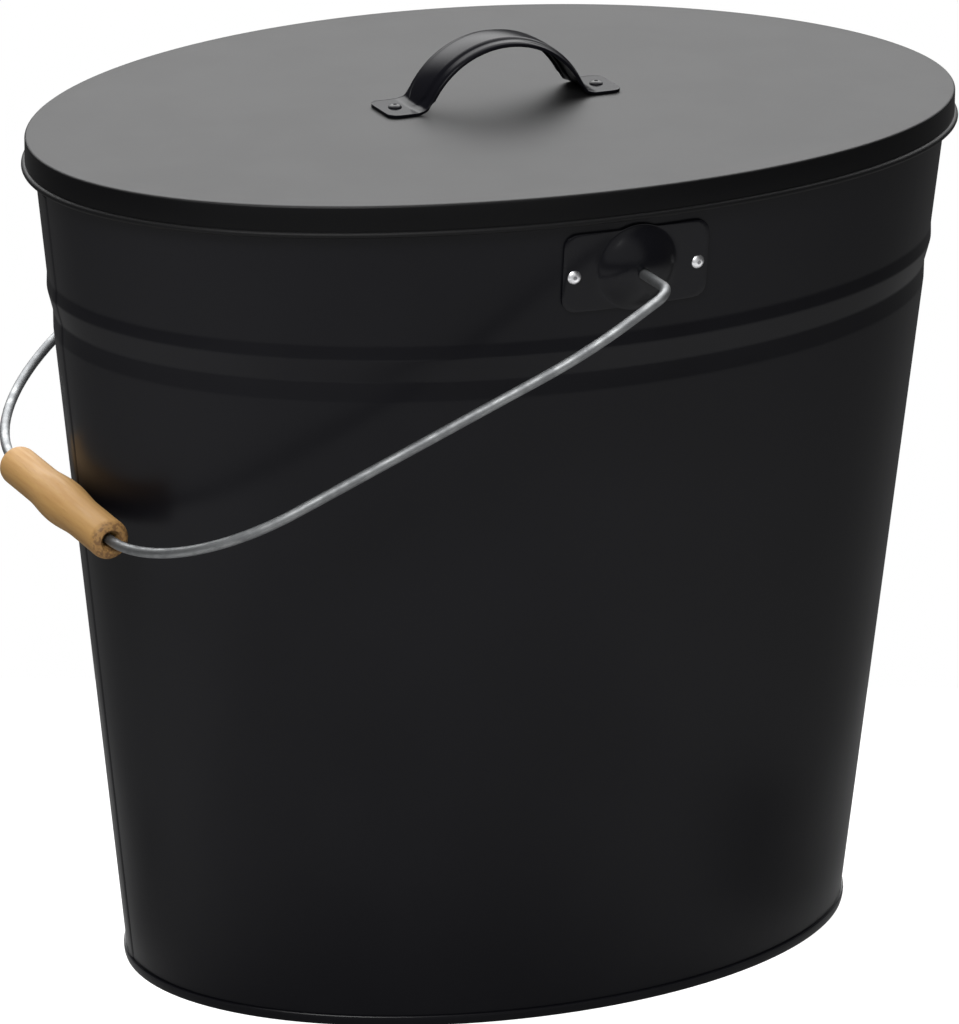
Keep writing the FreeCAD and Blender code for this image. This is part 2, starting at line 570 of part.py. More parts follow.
pieces = [make_wall(), make_seam(), make_base()]
for side, side_name in SIDE_NAMES.items():
    pieces.append(make_ear(f"{side_name}_ear", side))
    for end, end_name in END_NAMES.items():
        seat = EAR_SEATS[side, end]
        pieces.append(make_rivet(f"{side_name}_ear_rivet_{end_name}", seat, EAR_GRIP))
        pieces.append(make_mandrel(f"{side_name}_ear_mandrel_{end_name}", seat, EAR_GRIP))
pieces += [make_bail(), make_grip(), make_lid(), make_handle()]
for end, end_name in END_NAMES.items():
    seat = HANDLE_SEATS[end]
    pieces.append(make_rivet(f"lid_handle_rivet_{end_name}", seat, HANDLE_GRIP))
    pieces.append(make_mandrel(f"lid_handle_mandrel_{end_name}", seat, HANDLE_GRIP))
doc.recompute()

failed = [thing for thing in doc.Objects if "Invalid" in thing.State or "Error" in thing.State]
if failed:
    raise RuntimeError("; ".join(f"{thing.Label}: {thing.getStatusString()}" for thing in failed))
os.makedirs("parts", exist_ok=True)
for piece in pieces:
    shape = piece.Shape
    if shape.isNull() or not shape.isValid() or not shape.Solids:
        raise RuntimeError(f"{piece.Label} has no valid solid")
    shape.exportStep(f"parts/{piece.Label}.step")
    print(f"{piece.Label}: {len(shape.Solids)} solid, {shape.Volume / 1000:.2f} cm3")
print(f"bail rests {value_of(REST_ANGLE):.3f} degrees below level, pivot {value_of(PIVOT_HEIGHT):.2f} mm up, "
      f"grip {value_of(BAIL_REACH):.3f} mm out")
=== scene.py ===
"""Looks of the oval ash bucket: satin black sheet, a galvanised bail, a wooden grip and a white studio.

Metres, in the solids' frame: X along the oval, -Y the front, +Z up, origin on the floor under the middle.
"""
import json
import logging
import math
from collections.abc import Sequence
from dataclasses import dataclass
from enum import Enum

import bpy
from mathutils import Matrix, Vector


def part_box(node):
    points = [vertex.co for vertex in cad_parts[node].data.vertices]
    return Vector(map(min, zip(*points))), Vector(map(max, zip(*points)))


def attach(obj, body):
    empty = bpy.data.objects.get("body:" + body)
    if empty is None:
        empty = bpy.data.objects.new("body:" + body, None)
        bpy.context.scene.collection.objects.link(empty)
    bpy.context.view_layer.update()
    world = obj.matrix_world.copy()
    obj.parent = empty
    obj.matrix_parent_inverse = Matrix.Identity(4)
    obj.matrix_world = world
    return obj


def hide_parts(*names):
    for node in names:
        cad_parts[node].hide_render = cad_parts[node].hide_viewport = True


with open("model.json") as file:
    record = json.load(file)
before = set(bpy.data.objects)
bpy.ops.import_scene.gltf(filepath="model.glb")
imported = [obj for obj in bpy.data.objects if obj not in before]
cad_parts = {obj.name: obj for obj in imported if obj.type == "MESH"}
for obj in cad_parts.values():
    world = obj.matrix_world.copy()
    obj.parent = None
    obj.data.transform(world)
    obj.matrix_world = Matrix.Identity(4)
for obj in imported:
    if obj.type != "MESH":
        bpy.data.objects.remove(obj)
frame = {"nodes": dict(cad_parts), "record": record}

log = logging.getLogger("ash_bucket")

MM = 0.001
PHOTO_WIDTH = 959
PHOTO_HEIGHT = 1024
TINY = 1e-9
WELD_DISTANCE = 0.001 * MM

ORIGIN = Vector()
NOISE_SPAN = (0.3, 0.7)

Ring = tuple[float, float, float]
Colour = tuple[float, float, float]
Span = tuple[float, float]
Profile = list[tuple[float, float]]
LinePoint = tuple[float, float, float, float]


class Side(Enum):
    """The two long sides of the bucket, by the sign of Y."""

    FRONT = -1
    BACK = 1


class BodyName(Enum):
    """The bodies that the new pieces ride on."""

    BUCKET = "bucket"
    GRIP = "grip"
    LID = "lid"


class SlotName(Enum):
    """The record's material slots."""

    BLACK_PAINT = "black_paint"
    GALVANISED_WIRE = "galvanised_wire"
    GRIP_WOOD = "grip_wood"
    RIVET_ALUMINIUM = "rivet_aluminium"
    MANDREL_STEEL = "mandrel_steel"


class Wire:
    """An output socket that takes part in Python arithmetic by adding Math nodes."""

    def __init__(self, sheet: "ShaderSheet", socket: bpy.types.NodeSocket) -> None:
        """Keeps the socket and the sheet its Math nodes go on."""
        self.sheet = sheet
        self.socket = socket

    def _math(self, operation: str, first: object, second: object) -> "Wire":
        """Adds one Math node.

        Args:
            operation: The Math node's operation.
            first: Its first value or wire.
            second: Its second value or wire.

        Returns:
            The node's result.
        """
        return self.sheet.wire("ShaderNodeMath", {"operation": operation}, {0: first, 1: second})

    def __add__(self, other: object) -> "Wire":
        """This plus other."""
        return self._math("ADD", self, other)

    __radd__ = __add__

    def __sub__(self, other: object) -> "Wire":
        """This less other."""
        return self._math("SUBTRACT", self, other)

    def __rsub__(self, other: object) -> "Wire":
        """Other less this."""
        return self._math("SUBTRACT", other, self)

    def __mul__(self, other: object) -> "Wire":
        """This times other."""
        return self._math("MULTIPLY", self, other)

    __rmul__ = __mul__

    def __abs__(self) -> "Wire":
        """This without its sign."""
        return self._math("ABSOLUTE", self, 0.0)

    def most(self, other: object) -> "Wire":
        """The larger of this and other."""
        return self._math("MAXIMUM", self, other)

    def ramp(self, low: float, high: float) -> "Wire":
        """Goes smoothly from 0 to 1 as this goes from low to high.

        Args:
            low: Where the ramp starts.
            high: Where the ramp ends.

        Returns:
            The share between 0 and 1.
        """
        settings = {"interpolation_type": "SMOOTHSTEP", "clamp": True}
        sockets = {"Value": self, "From Min": low, "From Max": high}
        return self.sheet.wire("ShaderNodeMapRange", settings, sockets)


class ShaderSheet:
    """A node tree that is filled through one node-making method."""

    def __init__(self, tree: bpy.types.NodeTree) -> None:
        """Empties the tree."""
        self.tree = tree
        tree.nodes.clear()

    def node(self, kind: str, settings: dict | None = None, sockets: dict | None = None) -> bpy.types.Node:
        """Makes a node, sets it up, then feeds its sockets.

        Args:
            kind: The node's type name.
            settings: Properties of the node, set first.
            sockets: Input names or numbers, each with a value, a socket or a wire.

        Returns:
            The new node.
        """
        made = self.tree.nodes.new(kind)
        for name, setting in (settings or {}).items():
            setattr(made, name, setting)
        for name, value in (sockets or {}).items():
            self._feed(made.inputs[name], value)
        return made

    def wire(self, kind: str, settings: dict | None = None, sockets: dict | None = None,
             output: int | str = 0) -> Wire:
        """Makes a node and hands back one of its outputs.

        Args:
            kind: The node's type name.
            settings: Properties of the node, set first.
            sockets: Input names or numbers with what feeds them.
            output: Name or number of the output.

        Returns:
            That output as a wire.
        """
        return Wire(self, self.node(kind, settings, sockets).outputs[output])

    def _feed(self, target: bpy.types.NodeSocket, value: object) -> None:
        """Links a wire or socket to an input, or sets its plain value.

        Args:
            target: The input.
            value: What feeds it.
        """
        if isinstance(value, Wire):
            self.tree.links.new(value.socket, target)
        elif isinstance(value, bpy.types.NodeSocket):
            self.tree.links.new(value, target)
        elif isinstance(value, tuple) and target.type == "RGBA":
            target.default_value = (*value, 1.0)
        else:
            target.default_value = value

    def place(self, centre: Vector = ORIGIN, stretch: tuple[float, float, float] = (1.0, 1.0, 1.0)) -> Wire:
        """Object coordinates measured from a centre and stretched.

        Args:
            centre: Point that becomes the pattern's zero.
            stretch: Scale along each axis.

        Returns:
            The coordinates.
        """
        coordinates = self.wire("ShaderNodeTexCoord", output="Object")
        moved = self.wire("ShaderNodeVectorMath", {"operation": "SUBTRACT"}, {0: coordinates, 1: centre})
        return self.wire("ShaderNodeVectorMath", {"operation": "MULTIPLY"}, {0: moved, 1: stretch})

    def dot(self, place: Wire, way: Vector) -> Wire:
        """How far coordinates reach along a direction."""
        return self.wire("ShaderNodeVectorMath", {"operation": "DOT_PRODUCT"}, {0: place, 1: way}, "Value")

    def noise(self, place: Wire, scale: float, detail: float = 3.0) -> Wire:
        """Soft noise between about 0.3 and 0.7.

        Args:
            place: Coordinates.
            scale: Lumps per metre.
            detail: Octaves.

        Returns:
            The noise value.
        """
        return self.wire("ShaderNodeTexNoise", None, {"Vector": place, "Scale": scale, "Detail": detail})

    def blend(self, share: object, first: object, second: object) -> Wire:
        """Mixes two colours, whose sockets on a Mix node are 6 and 7 and their mix output 2.

        Args:
            share: 0 gives the first, 1 the second.
            first: A colour or wire.
            second: A colour or wire.

        Returns:
            The mixed colour.
        """
        return self.wire("ShaderNodeMix", {"data_type": "RGBA"}, {0: share, 6: first, 7: second}, 2)

    def bump(self, height: Wire, depth: float) -> Wire:
        """Normals bent by a height pattern.

        Args:
            height: The pattern, 0 to 1.
            depth: Its depth in metres.

        Returns:
            The bent normal.
        """
        return self.wire("ShaderNodeBump", None, {"Height": height, "Distance": depth})

    def surface(self, sockets: dict) -> None:
        """Ends the sheet with a Principled surface.

        Args:
            sockets: Inputs of the Principled node.
        """
        shader = self.node("ShaderNodeBsdfPrincipled", None, sockets)
        self.node("ShaderNodeOutputMaterial", None, {"Surface": shader.outputs[0]})


def new_material(name: str) -> tuple[bpy.types.Material, ShaderSheet]:
    """Makes an empty node material.

    Args:
        name: The material's name.

    Returns:
        The material and its sheet.
    """
    material = bpy.data.materials.new(name)
    material.use_nodes = True
    return material, ShaderSheet(material.node_tree)


@dataclass(frozen=True)
class BlackPaint:
    """Black enamel on thin sheet, with faint clouds in its sheen and a fine orange peel."""

    name: str
    roughness: float
    ior: float
    peel_scale: float = 420.0
    peel_depth: float = 0.012 * MM
    colour: Colour = (0.0030, 0.0030, 0.0042)
    clouded_colour: Colour = (0.0044, 0.0044, 0.0058)
    roughness_swing: float = 0.03
    cloud_scale: float = 9.0

    def make(self) -> bpy.types.Material:
        """Builds the material.

        Returns:
            The material.
        """
        material, sheet = new_material(self.name)
        place = sheet.place()
        clouds = sheet.noise(place, self.cloud_scale, detail=4.0).ramp(*NOISE_SPAN)
        peel = sheet.noise(place, self.peel_scale, detail=2.0)
        sheet.surface({
            "Base Color": sheet.blend(clouds, self.colour, self.clouded_colour),
            "Roughness": self.roughness + self.roughness_swing * (clouds - 0.5),
            "IOR": self.ior,
            "Normal": sheet.bump(peel, self.peel_depth),
        })
        return material


@dataclass(frozen=True)
class LidPaint:
    """Black enamel that is matt on the lid's arched upper face and its hem, and satin on its skirt; its
    upper face is painted a touch lighter in clouds, a painted sheen.

    The two fades are heights from the lid's top and from the hem's top.
    """

    top: float
    hem_top: float
    fall: float
    matt: float = 0.54
    satin: float = 0.26
    ior: float = 1.25
    face_fade: Span = (-1.2 * MM, -0.2 * MM)
    hem_fade: Span = (0.4 * MM, -0.2 * MM)
    peel_scale: float = 1400.0
    peel_depth: float = 0.02 * MM
    colour: Colour = (0.0030, 0.0030, 0.0033)
    clouded_colour: Colour = (0.0060, 0.0060, 0.0063)
    cloud_scale: float = 30.0

    def make(self) -> bpy.types.Material:
        """Builds the material.

        Returns:
            The material.
        """
        material, sheet = new_material("matt_black_paint")
        place = sheet.place()
        x, z = (sheet.wire("ShaderNodeSeparateXYZ", None, {0: place}, axis) for axis in ("X", "Z"))
        level = z + self.fall * x * x
        upper = level.ramp(*(self.top + fade for fade in self.face_fade))
        hem = level.ramp(*(self.hem_top + fade for fade in self.hem_fade))
        clouds = sheet.noise(place, self.cloud_scale, detail=4.0).ramp(*NOISE_SPAN)
        peel = sheet.noise(place, self.peel_scale, detail=2.0)
        sheet.surface({
            # painted sheen: the upper face alone is lifted towards the lighter colour, in clouds
            "Base Color": sheet.blend(upper * clouds, self.colour, self.clouded_colour),
            "Roughness": self.satin + (self.matt - self.satin) * upper.most(hem),
            "IOR": self.ior,
            "Normal": sheet.bump(peel, self.peel_depth),
        })
        return material


@dataclass(frozen=True)
class GalvanisedWire:
    """Bright drawn wire with the faint mottling of its zinc."""

    bright: Colour = (0.24, 0.247, 0.25)
    dull: Colour = (0.175, 0.18, 0.185)
    roughness: float = 0.56
    roughness_swing: float = 0.10
    mottle_scale: float = 160.0
    mottle_span: Span = (0.32, 0.68)
    draw_scale: float = 900.0
    draw_depth: float = 0.004 * MM

    def make(self) -> bpy.types.Material:
        """Builds the material.

        Returns:
            The material.
        """
        material, sheet = new_material("galvanised_wire")
        place = sheet.place()
        mottle = sheet.noise(place, self.mottle_scale, detail=4.0).ramp(*self.mottle_span)
        drawn = sheet.noise(place, self.draw_scale, detail=2.0)
        sheet.surface({
            "Base Color": sheet.blend(mottle, self.bright, self.dull),
            "Metallic": 1.0,
            "Roughness": self.roughness + self.roughness_swing * (mottle - 0.5),
            "Normal": sheet.bump(drawn, self.draw_depth),
        })
        return material


@dataclass(frozen=True)
class FastenerMetal:
    """Bare metal of a small fastener, scuffed by the tool that set it."""

    name: str
    bright: Colour
    dull: Colour
    roughness: float
    roughness_swing: float = 0.12
    scuff_scale: float = 700.0
    scuff_depth: float = 0.02 * MM

    def make(self) -> bpy.types.Material:
        """Builds the material.

        Returns:
            The material.
        """
        material, sheet = new_material(self.name)
        scuffs = sheet.noise(sheet.place(), self.scuff_scale).ramp(*NOISE_SPAN)
        sheet.surface({
            "Base Color": sheet.blend(scuffs, self.bright, self.dull),
            "Metallic": 1.0,
            "Roughness": self.roughness + self.roughness_swing * (scuffs - 0.5),
            "Normal": sheet.bump(scuffs, self.scuff_depth),
        })
        return material


@dataclass(frozen=True)
class GripWood:
    """Turned and lightly varnished wood, its grain along the grip and its ends darker.

    The end fade is measured from an end.
    """

    centre: Vector
    half_length: float
    pale: Colour = (0.345, 0.200, 0.069)
    warm: Colour = (0.260, 0.130, 0.040)
    pore: Colour = (0.24, 0.115, 0.035)
    end_grain: Colour = (0.12, 0.060, 0.024)
    pith_off: tuple[float, float, float] = (0.021, 0.0, 0.013)
    ring_spacing: float = 2.6 * MM
    ring_waver: float = 7 * MM
    ring_share: float = 0.24
    grain_stretch: float = 0.07
    grain_depth: float = 0.05 * MM
    waver_scale: float = 55.0
    streak_scale: float = 420.0
    streak_span: Span = (0.35, 0.72)
    streak_share: float = 0.30
    pore_scale: float = 1500.0
    pore_span: Span = (0.60, 0.74)
    pore_share: float = 0.30
    end_fade: Span = (-4.0 * MM, -0.6 * MM)
    end_share: float = 0.30
    speck_scale: float = 800.0
    speck_span: Span = (0.42, 0.60)
    speck_share: float = 0.60
    roughness: float = 0.58
    streak_roughness: float = 0.16
    ior: float = 1.36
    streak_relief: float = 0.6

    def make(self) -> bpy.types.Material:
        """Builds the material.

        Returns:
            The material.
        """
        material, sheet = new_material("turned_grip_wood")
        middle = sheet.place(self.centre)
        grain_place = sheet.place(self.centre, (1.0, self.grain_stretch, 1.0))
        ring_place = sheet.place(self.centre + Vector(self.pith_off), (1.0, 0.0, 1.0))
        distance = sheet.wire("ShaderNodeVectorMath", {"operation": "LENGTH"}, {0: ring_place}, "Value")
        waver = self.ring_waver * sheet.noise(grain_place, self.waver_scale)
        phase = (distance + waver) * (2 * math.pi / self.ring_spacing)
        rings = sheet.wire("ShaderNodeMath", {"operation": "SINE"}, {0: phase}) * 0.5 + 0.5
        streaks = sheet.noise(grain_place, self.streak_scale, detail=4.0).ramp(*self.streak_span)
        pores = sheet.noise(grain_place, self.pore_scale, detail=2.0).ramp(*self.pore_span)
        axial = sheet.wire("ShaderNodeSeparateXYZ", None, {0: middle}, "Y")
        ends = abs(axial).ramp(*(self.half_length + fade for fade in self.end_fade))
        specks = sheet.noise(middle, self.speck_scale).ramp(*self.speck_span)
        body = sheet.blend(self.ring_share * rings + self.streak_share * streaks, self.pale, self.warm)
        porous = sheet.blend(self.pore_share * pores, body, self.pore)
        darker = ends * (self.end_share + self.speck_share * specks)
        sheet.surface({
            "Base Color": sheet.blend(darker, porous, self.end_grain),
            "Roughness": self.roughness + self.streak_roughness * streaks,
            "IOR": self.ior,
            "Normal": sheet.bump(self.streak_relief * streaks + pores, self.grain_depth),
        })
        return material


def deselect() -> None:
    """Leaves object mode with nothing selected."""
    if bpy.context.object and bpy.context.object.mode != "OBJECT":
        bpy.ops.object.mode_set(mode="OBJECT")
    bpy.ops.object.select_all(action="DESELECT")


def finish_mesh(piece: bpy.types.Object, smooth_angle: float) -> None:
    """Applies a piece's place and modifiers and smooths it up to an angle.

    Args:
        piece: The object.
        smooth_angle: Edges sharper than this, in degrees, stay hard.
    """
    deselect()
    piece.select_set(True)
    bpy.context.view_layer.objects.active = piece
    bpy.ops.object.transform_apply(location=True, rotation=True, scale=True)
    for modifier in list(piece.modifiers):
        bpy.ops.object.modifier_apply(modifier=modifier.name)
    bpy.ops.object.shade_smooth_by_angle(angle=math.radians(smooth_angle))


def thicken(sheet: bpy.types.Object, thickness: float) -> None:
    """Gives an open sheet its thickness, inwards from its faces.

    Args:
        sheet: The object.
        thickness: How thick it gets.
    """
    modifier = sheet.modifiers.new("sheet", "SOLIDIFY")
    modifier.thickness = thickness
    modifier.offset = -1.0


def soften_edges(piece: bpy.types.Object, width: float, sharp_angle: float = 50.0) -> None:
    """Rounds a piece's sharp edges.

    Args:
        piece: The object.
        width: Width of the rounding.
        sharp_angle: Edges sharper than this, in degrees, are rounded.
    """
    modifier = piece.modifiers.new("edge", "BEVEL")
    modifier.width = width
    modifier.segments = 2
    modifier.angle_limit = math.radians(sharp_angle)


def extrude_ovals(name: str, rings: Sequence[Ring], closed: bool, segments: int) -> bpy.types.Object:
    """Draws an oval and extrudes it from ring to ring.

    Args:
        name: The piece's name.
        rings: Half-length, half-width and height of each oval.
        closed: Joins the last ring to the first; otherwise both are capped.
        segments: Points round the oval.

    Returns:
        The new object, with its faces pointing outwards.
    """
    deselect()
    bpy.ops.mesh.primitive_circle_add(vertices=segments, radius=1.0)
    piece = bpy.context.object
    piece.name = name
    bpy.ops.object.mode_set(mode="EDIT")
    bpy.ops.mesh.select_all(action="SELECT")
    half_length, half_width, height = rings[0]
    bpy.ops.transform.resize(value=(half_length, half_width, 1.0), center_override=(0.0, 0.0, 0.0))
    bpy.ops.transform.translate(value=(0.0, 0.0, height))
    path = [*rings, rings[0]] if closed else rings
    for before, after in zip(path, path[1:]):
        bpy.ops.mesh.extrude_edges_move(TRANSFORM_OT_translate={"value": (0.0, 0.0, after[2] - before[2])})
        growth = (after[0] / before[0], after[1] / before[1], 1.0)
        bpy.ops.transform.resize(value=growth, center_override=(0.0, 0.0, 0.0))
    bpy.ops.mesh.select_all(action="SELECT")
    bpy.ops.mesh.remove_doubles(threshold=WELD_DISTANCE)
    if not closed:
        bpy.ops.mesh.fill_holes(sides=0)
    bpy.ops.mesh.select_all(action="SELECT")
    bpy.ops.mesh.normals_make_consistent(inside=False)
    bpy.ops.object.mode_set(mode="OBJECT")
    return piece


def add_grid(name: str, columns: int, rows: int) -> bpy.types.Object:
    """Adds a flat grid that reaches from -1 to 1 both ways.

    Args:
        name: The piece's name.
        columns: Points along X.
        rows: Points along Y.

    Returns:
        The new object.
    """
    deselect()
    bpy.ops.mesh.primitive_grid_add(x_subdivisions=columns - 1, y_subdivisions=rows - 1, size=2.0)
    grid = bpy.context.object
    grid.name = name
    return grid


def grid_index(place: float, count: int) -> int:
    """Number of a grid line.

    Args:
        place: The line's place, -1 to 1.
        count: How many lines there are.

    Returns:
        The number, from 0.
    """
    return round((place + 1) / 2 * (count - 1))


def face_along(sheet: bpy.types.Object, way: Vector) -> None:
    """Turns an open sheet's faces so that on the whole they look one way.

    Args:
        sheet: The object.
        way: The way they look.
    """
    sheet.data.update()
    if sum(face.normal.dot(way) * face.area for face in sheet.data.polygons) < 0:
        sheet.data.flip_normals()


def half_round(bottom: float, height: float, out: float, steps: int = 12) -> Profile:
    """Heights and offsets of a half-round bead, from its bottom to its top.

    Args:
        bottom: Height of its bottom.
        height: Its height.
        out: How far it stands out.
        steps: Runs round the bead.

    Returns:
        The bead's points.
    """
    angles = [math.pi * (step / steps - 0.5) for step in range(steps + 1)]
    return [(bottom + height / 2 * (1 + math.sin(turn)), out * math.cos(turn)) for turn in angles]


def quarter_round(top: float, out: float, radius: float, steps: int) -> Profile:
    """Heights and offsets of a rounded upper edge, from its outside to its top.

    Args:
        top: Height of its top.
        out: Offset of its outside.
        radius: Its radius.
        steps: Runs round the edge.

    Returns:
        The edge's points.
    """
    turns = [math.pi / 2 * step / steps for step in range(steps + 1)]
    return [(top - radius * (1 - math.sin(turn)), out - radius * (1 - math.cos(turn))) for turn in turns]


def eased(corners: Sequence[tuple[float, float, float]], steps: int = 4) -> Profile:
    """Height and offset points with each corner eased over its own length.

    Args:
        corners: Height, offset and ease length of each corner.
        steps: Runs over an eased corner.

    Returns:
        The eased points.
    """
    points = [(corners[0][0], corners[0][1])]
    for before, corner, after in zip(corners, corners[1:], corners[2:]):
        middle = Vector(corner[:2])
        start = middle + (Vector(before[:2]) - middle).normalized() * corner[2]
        end = middle + (Vector(after[:2]) - middle).normalized() * corner[2]
        for step in range(steps + 1):
            share = step / steps
            spot = start.lerp(middle, share).lerp(middle.lerp(end, share), share)
            points.append((spot.x, spot.y))
    points.append((corners[-1][0], corners[-1][1]))
    return points


@dataclass(frozen=True)
class Taper:
    """The wall's outside: an oval that widens evenly from the floor to the rim."""

    rim_length: float = 421.8 * MM
    rim_width: float = 289.1 * MM
    foot_length: float = 340.3 * MM
    foot_width: float = 231.1 * MM
    height: float = 381.6 * MM
    sheet: float = 0.7 * MM

    def half_axes(self, height: float, out: float = 0.0) -> tuple[float, float]:
        """Half-length and half-width at a height.

        Args:
            height: Height above the floor.
            out: Growth of both.

        Returns:
            The two half-axes.
        """
        share = height / self.height
        length = self.foot_length + share * (self.rim_length - self.foot_length)
        width = self.foot_width + share * (self.rim_width - self.foot_width)
        return length / 2 + out, width / 2 + out

    def ring(self, height: float, out: float = 0.0) -> Ring:
        """The oval at a height as a ring."""
        return (*self.half_axes(height, out), height)

    def side_point(self, side: Side, x: float, height: float, out: float) -> Vector:
        """Point on a long side, some way out from the wall.

        Args:
            side: Front or back.
            x: Place along the oval.
            height: Height above the floor.
            out: Distance out from the wall.

        Returns:
            The point.
        """
        half_length, half_width = self.half_axes(height, out)
        return Vector((x, side.value * half_width * math.sqrt(1 - (x / half_length) ** 2), height))

    def end_point(self, y: float, height: float, out: float) -> Vector:
        """Point on the left end, some way out from the wall.

        Args:
            y: Place across the oval.
            height: Height above the floor.
            out: Distance out from the wall.

        Returns:
            The point.
        """
        half_length, half_width = self.half_axes(height, out)
        return Vector((-half_length * math.sqrt(1 - (y / half_width) ** 2), y, height))


def add_piece(piece: bpy.types.Object, body: BodyName, material: bpy.types.Material,
              node: str) -> None:
    """Dresses a piece, sets it on its body and lets it stand for its solid.

    Args:
        piece: The finished object.
        body: The body it moves with.
        material: Its material.
        node: The solid it stands for.
    """
    piece.data.materials.clear()
    piece.data.materials.append(material)
    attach(piece, body.value)
    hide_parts(node)
    log.info("%s: %d faces, for %s", piece.name, len(piece.data.polygons), node)


@dataclass
class Bucket:
    """Wall with its pressed swage, rolled rim and lock seam, and the two ears.

    The seam's fold is in shares of half its width and of its rise.
    """

    taper: Taper
    paint: bpy.types.Material
    ear_paint: bpy.types.Material
    rim_bead: float = 3.4 * MM
    rim_bead_out: float = 1.6 * MM
    swage_top: float = 321.2 * MM
    swage_upper: float = 6.1 * MM
    swage_fall: float = 10.2 * MM
    swage_lower: float = 8.9 * MM
    swage_out: float = 0.8 * MM
    swage_ease: float = 0.9 * MM
    seam_middle: float = 11.5 * MM
    seam_width: float = 9 * MM
    seam_rise: float = 0.4 * MM
    seam_sheet: float = 0.1 * MM
    seam_foot: float = 4.6 * MM
    seam_top: float = 363.4 * MM
    seam_fold: tuple[Span, ...] = ((0.0, 1.0), (0.5, 1.0), (0.7, 0.85), (0.85, 0.35), (1.0, 0.0))
    segments: int = 256
    ear_height: float = 350.5 * MM
    ear_length: float = 68 * MM
    ear_width: float = 35 * MM
    ear_corner: float = 6 * MM
    ear_sheet: float = 1.2 * MM
    ear_round: float = 0.35 * MM
    seat_gap: float = 0.1 * MM
    dome_radius: float = 19 * MM
    dome_height: float = 8 * MM
    dome_fillet: float = 1.4 * MM
    dome_margin: float = 0.3 * MM
    pivot_drop: float = 1.5 * MM
    pivot_radius: float = 2.55 * MM
    dome_rings: int = 30
    plate_rings: int = 8
    ear_segments: int = 96

    def build(self) -> None:
        """Builds the wall, its seam and both ears."""
        self.build_wall()
        self.build_seam()
        for side in Side:
            self.build_ear(side)

    def swage(self) -> Profile:
        """Heights and offsets of the swage, from its foot up.

        Returns:
            The swage's points.
        """
        crest = self.swage_top - self.swage_upper
        hollow = crest - self.swage_fall
        foot = hollow - self.swage_lower
        ease = self.swage_ease
        return eased([
            (foot - 2 * ease, 0.0, 0.0),
            (foot, 0.0, ease),
            (hollow, -self.swage_out, ease),
            (crest, self.swage_out, ease),
            (self.swage_top, 0.0, ease),
            (self.swage_top + 2 * ease, 0.0, 0.0),
        ])

    def build_wall(self) -> None:
        """Extrudes the wall up its outside, over the rim and down its inside."""
        sheet, top = self.taper.sheet, self.taper.height
        swage = self.swage()
        bead = half_round(top - self.rim_bead, self.rim_bead, self.rim_bead_out)
        outside = [(sheet, 0.0), *swage, *bead]
        inner_swage = [(height, out - sheet) for height, out in reversed(swage)]
        inside = [(top, -sheet), *inner_swage, (sheet, -sheet)]
        rings = [self.taper.ring(height, out) for height, out in outside + inside]
        wall = extrude_ovals("wall_sheet", rings, True, self.segments)
        finish_mesh(wall, smooth_angle=50.0)
        add_piece(wall, BodyName.BUCKET, self.paint, "bucket_wall")

    def build_seam(self) -> None:
        """Lays the upright lock seam on the left end as a low, soft-edged fold that follows the swage."""
        path = [(self.seam_foot, 0.0), *self.swage(), (self.seam_top, 0.0)]
        across = [(-share, rise) for share, rise in reversed(self.seam_fold[1:])]
        across += self.seam_fold
        seam = add_grid("wall_seam_fold", len(path), len(across))
        for vertex in seam.data.vertices:
            height, out = path[grid_index(vertex.co.x, len(path))]
            share, rise = across[grid_index(vertex.co.y, len(across))]
            y = self.seam_middle + share * self.seam_width / 2
            vertex.co = self.taper.end_point(y, height, out + rise * self.seam_rise)
        face_along(seam, Vector((-1.0, 0.0, 0.0)))
        thicken(seam, self.seam_sheet)
        finish_mesh(seam, smooth_angle=60.0)
        add_piece(seam, BodyName.BUCKET, self.paint, "wall_seam")

    def ear_edge(self, turn: float) -> float:
        """Distance from the ear's middle to its edge in one direction.

        Args:
            turn: Direction in radians, 0 along X.

        Returns:
            The distance.
        """
        half_x, half_z = self.ear_length / 2, self.ear_width / 2
        across, up = abs(math.cos(turn)), abs(math.sin(turn))
        reach = min(half_x / max(across, TINY), half_z / max(up, TINY))
        corner = Vector((half_x - self.ear_corner, half_z - self.ear_corner))
        if reach * across > corner.x and reach * up > corner.y:
            along = corner.x * across + corner.y * up
            reach = along + math.sqrt(max(along ** 2 - corner.length_squared + self.ear_corner ** 2, 0.0))
        return max(reach, self.dome_radius + self.dome_margin)

    def ear_rise(self, radius: float) -> float:
        """Height of the ear's outside above the wall, at a distance from the dome's middle.

        Args:
            radius: That distance.

        Returns:
            The height, with a fillet where the dome meets the plate.
        """
        ball = (self.dome_radius ** 2 + self.dome_height ** 2) / (2 * self.dome_height)
        plate = self.seat_gap + self.ear_sheet
        dome = math.sqrt(max(ball ** 2 - radius ** 2, 0.0)) - ball + self.dome_height
        overlap = max(self.dome_fillet - abs(dome - plate), 0.0) / self.dome_fillet
        return max(dome, plate) + overlap ** 2 * self.dome_fillet / 4

